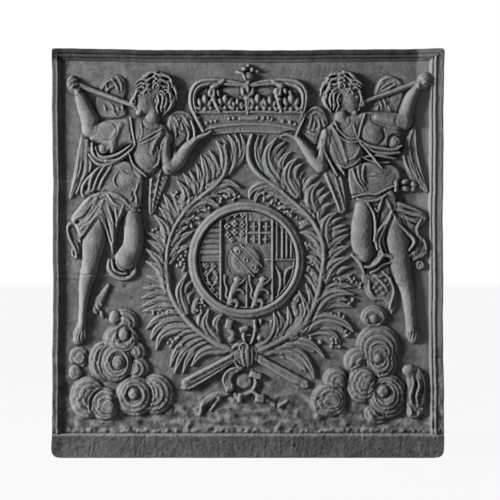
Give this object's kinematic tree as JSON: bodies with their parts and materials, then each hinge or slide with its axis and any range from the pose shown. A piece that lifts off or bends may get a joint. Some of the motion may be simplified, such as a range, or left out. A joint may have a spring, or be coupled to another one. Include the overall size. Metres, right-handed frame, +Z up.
{
  "type": "fireback",
  "caption": "Cast-iron fireback, a framed upright plate with winged trumpeting figures holding a crown over a ringed shield, palm branches and banks of cloud.",
  "frame": {"origin": "middle of the foot face, halfway through the plate's thickness", "axes": "+Z up the plate, -Y out of the decorated face, +X to the right of someone who looks at the decorated face"},
  "size_m": [0.8, 0.047, 0.833],
  "materials": {
    "plate_iron": "sand-cast, dull, finely pitted",
    "moulding_iron": "sand-cast, dull, edges rubbed a little brighter",
    "relief_iron": "sand-cast, softly worn, satin on the high parts"
  },
  "bodies": {
    "root": {"back_plate": "plate_iron", "base_band": "plate_iron", "left_moulding": "moulding_iron", "right_moulding": "moulding_iron", "top_moulding": "moulding_iron", "left_outer_wing": "relief_iron", "right_outer_wing": "relief_iron", "left_wing_feathers": "relief_iron", "right_wing_feathers": "relief_iron", "left_wing_tail": "relief_iron", "right_wing_tail": "relief_iron", "left_inner_wing": "relief_iron", "right_inner_wing": "relief_iron", "left_ribbon_loop": "relief_iron", "right_flying_cloth": "relief_iron", "left_far_foot": "relief_iron", "right_lower_cloth": "relief_iron", "left_skirt": "relief_iron", "right_skirt": "relief_iron", "left_tunic": "relief_iron", "right_tunic": "relief_iron", "left_standing_leg": "relief_iron", "right_standing_leg": "relief_iron", "left_bent_leg": "relief_iron", "right_bent_leg": "relief_iron", "left_torso": "relief_iron", "right_torso": "relief_iron", "left_head": "relief_iron", "right_head": "relief_iron", "left_raised_arm": "relief_iron", "right_raised_arm": "relief_iron", "left_trumpet": "relief_iron", "right_trumpet": "relief_iron", "left_supporting_arm": "relief_iron", "right_supporting_arm": "relief_iron", "left_sash": "relief_iron", "right_sash": "relief_iron", "crown_circlet": "relief_iron", "crown_finial": "relief_iron", "crown_arches": "relief_iron", "medallion_boss": "relief_iron", "medallion_ring": "relief_iron", "medallion_field": "relief_iron", "rosette_knot": "relief_iron", "lower_bow": "relief_iron", "left_stalk": "relief_iron", "right_stalk": "relief_iron", "upper_ribbon": "relief_iron", "left_palm": "relief_iron", "right_palm": "relief_iron", "left_cloud_low": "relief_iron", "right_cloud_low": "relief_iron", "left_cloud_middle": "relief_iron", "right_cloud_middle": "relief_iron", "left_cloud_high": "relief_iron", "right_cloud_high": "relief_iron", "right_cloud_column": "relief_iron"}
  },
  "joints": []
}
